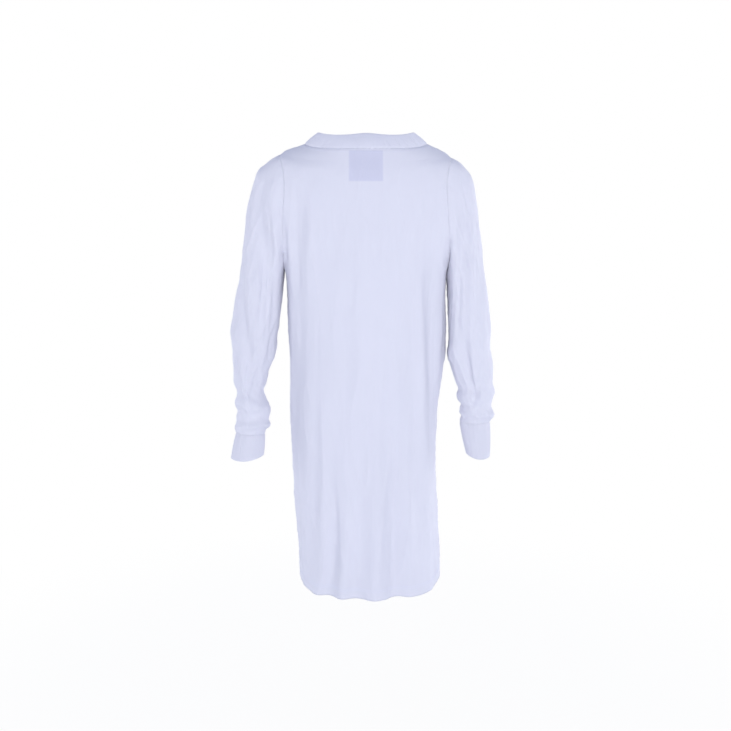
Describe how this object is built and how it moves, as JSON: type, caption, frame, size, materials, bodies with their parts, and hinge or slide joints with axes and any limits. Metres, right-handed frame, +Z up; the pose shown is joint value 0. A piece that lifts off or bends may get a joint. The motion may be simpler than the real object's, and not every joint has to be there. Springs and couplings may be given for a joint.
{
  "type": "patient gown",
  "caption": "Long-sleeved knitted patient gown with a closed back, ribbed neckband and cuffs, and sleeves that swing out at the shoulders.",
  "frame": {"origin": "midway between the two side neck points, where the wearer's shoulders or a hanger carry the gown", "axes": "+Z up, the wearer's back faces -Y, +X towards the wearer's right"},
  "size_m": [0.598, 0.2435, 1.037],
  "materials": {
    "jersey": "soft matt single jersey knit",
    "rib": "matt 1x1 rib knit",
    "overlock": "overlocked seam allowance with looped thread",
    "tape": "smooth woven tape",
    "label": "smooth woven label",
    "thread": "spun polyester thread"
  },
  "bodies": {
    "torso": {"back_panel": "jersey", "front_panel": "jersey", "neckband": "rib", "neckband_seam": "overlock", "neck_tape": "tape", "neck_label": "label", "neck_thread": "thread", "hem_thread": "thread", "left_shoulder_seam": "overlock", "left_side_seam": "overlock", "left_armhole_seam": "overlock", "right_shoulder_seam": "overlock", "right_side_seam": "overlock", "right_armhole_seam": "overlock"},
    "left_sleeve": {"left_sleeve": "jersey", "left_sleeve_seam": "overlock", "left_cuff": "rib", "left_cuff_seam": "overlock"},
    "right_sleeve": {"right_sleeve": "jersey", "right_sleeve_seam": "overlock", "right_cuff": "rib", "right_cuff_seam": "overlock"}
  },
  "joints": [
    {"name": "right_shoulder", "type": "hinge", "parent": "torso", "child": "right_sleeve", "pos_m": [0.19, 0, -0.027], "axis": [0, -1, 0], "range_deg": [0, 45]},
    {"name": "left_shoulder", "type": "hinge", "parent": "torso", "child": "left_sleeve", "pos_m": [-0.19, 0, -0.027], "axis": [0, 1, 0], "range_deg": [0, 45]}
  ]
}
